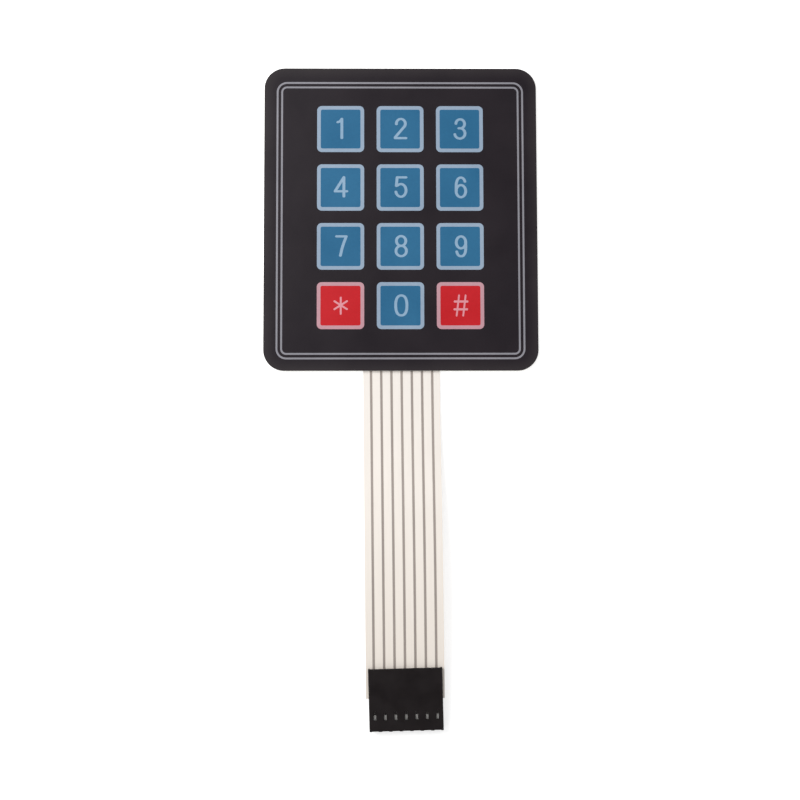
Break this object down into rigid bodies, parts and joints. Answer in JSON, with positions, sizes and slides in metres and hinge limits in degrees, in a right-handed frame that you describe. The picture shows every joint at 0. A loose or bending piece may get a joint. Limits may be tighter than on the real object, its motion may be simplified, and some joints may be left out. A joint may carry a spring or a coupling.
{
  "type": "membrane keypad",
  "caption": "Thin stick-on membrane keypad with printed number keys and a film tail that ends in a single-row pin socket.",
  "frame": {"origin": "middle of the key panel's back face, on the surface that the panel lies on", "axes": "+Z out of the keys, +Y towards the top row of keys, the tail runs towards -Y"},
  "size_m": [0.0688, 0.1655, 0.0043],
  "materials": {
    "liner_paper": "glazed paper",
    "clear_adhesive": "clear acrylic adhesive",
    "circuit_film": "milky polyester film",
    "silver_ink": "printed silver, dull",
    "spacer_film": "polyester film, coated with adhesive on both faces",
    "overlay_black": "fine matte film",
    "print_blue": "screen print",
    "print_red": "screen print",
    "print_light": "screen print",
    "housing_black": "moulded nylon",
    "contact_metal": "tin plated"
  },
  "bodies": {
    "root": {"release_liner": "liner_paper", "rear_adhesive": "clear_adhesive", "lower_circuit_film": "circuit_film", "lower_tracks": "silver_ink", "spacer": "spacer_film", "bridge_dots": "silver_ink", "upper_tracks": "silver_ink", "upper_circuit_film": "circuit_film", "overlay_adhesive": "clear_adhesive", "graphic_overlay": "overlay_black", "key_fields_blue": "print_blue", "key_fields_red": "print_red", "key_frames": "print_light", "border_lines": "print_light", "connector_housing": "housing_black", "contact_1": "contact_metal", "contact_2": "contact_metal", "contact_3": "contact_metal", "contact_4": "contact_metal", "contact_5": "contact_metal", "contact_6": "contact_metal", "contact_7": "contact_metal"}
  },
  "joints": []
}
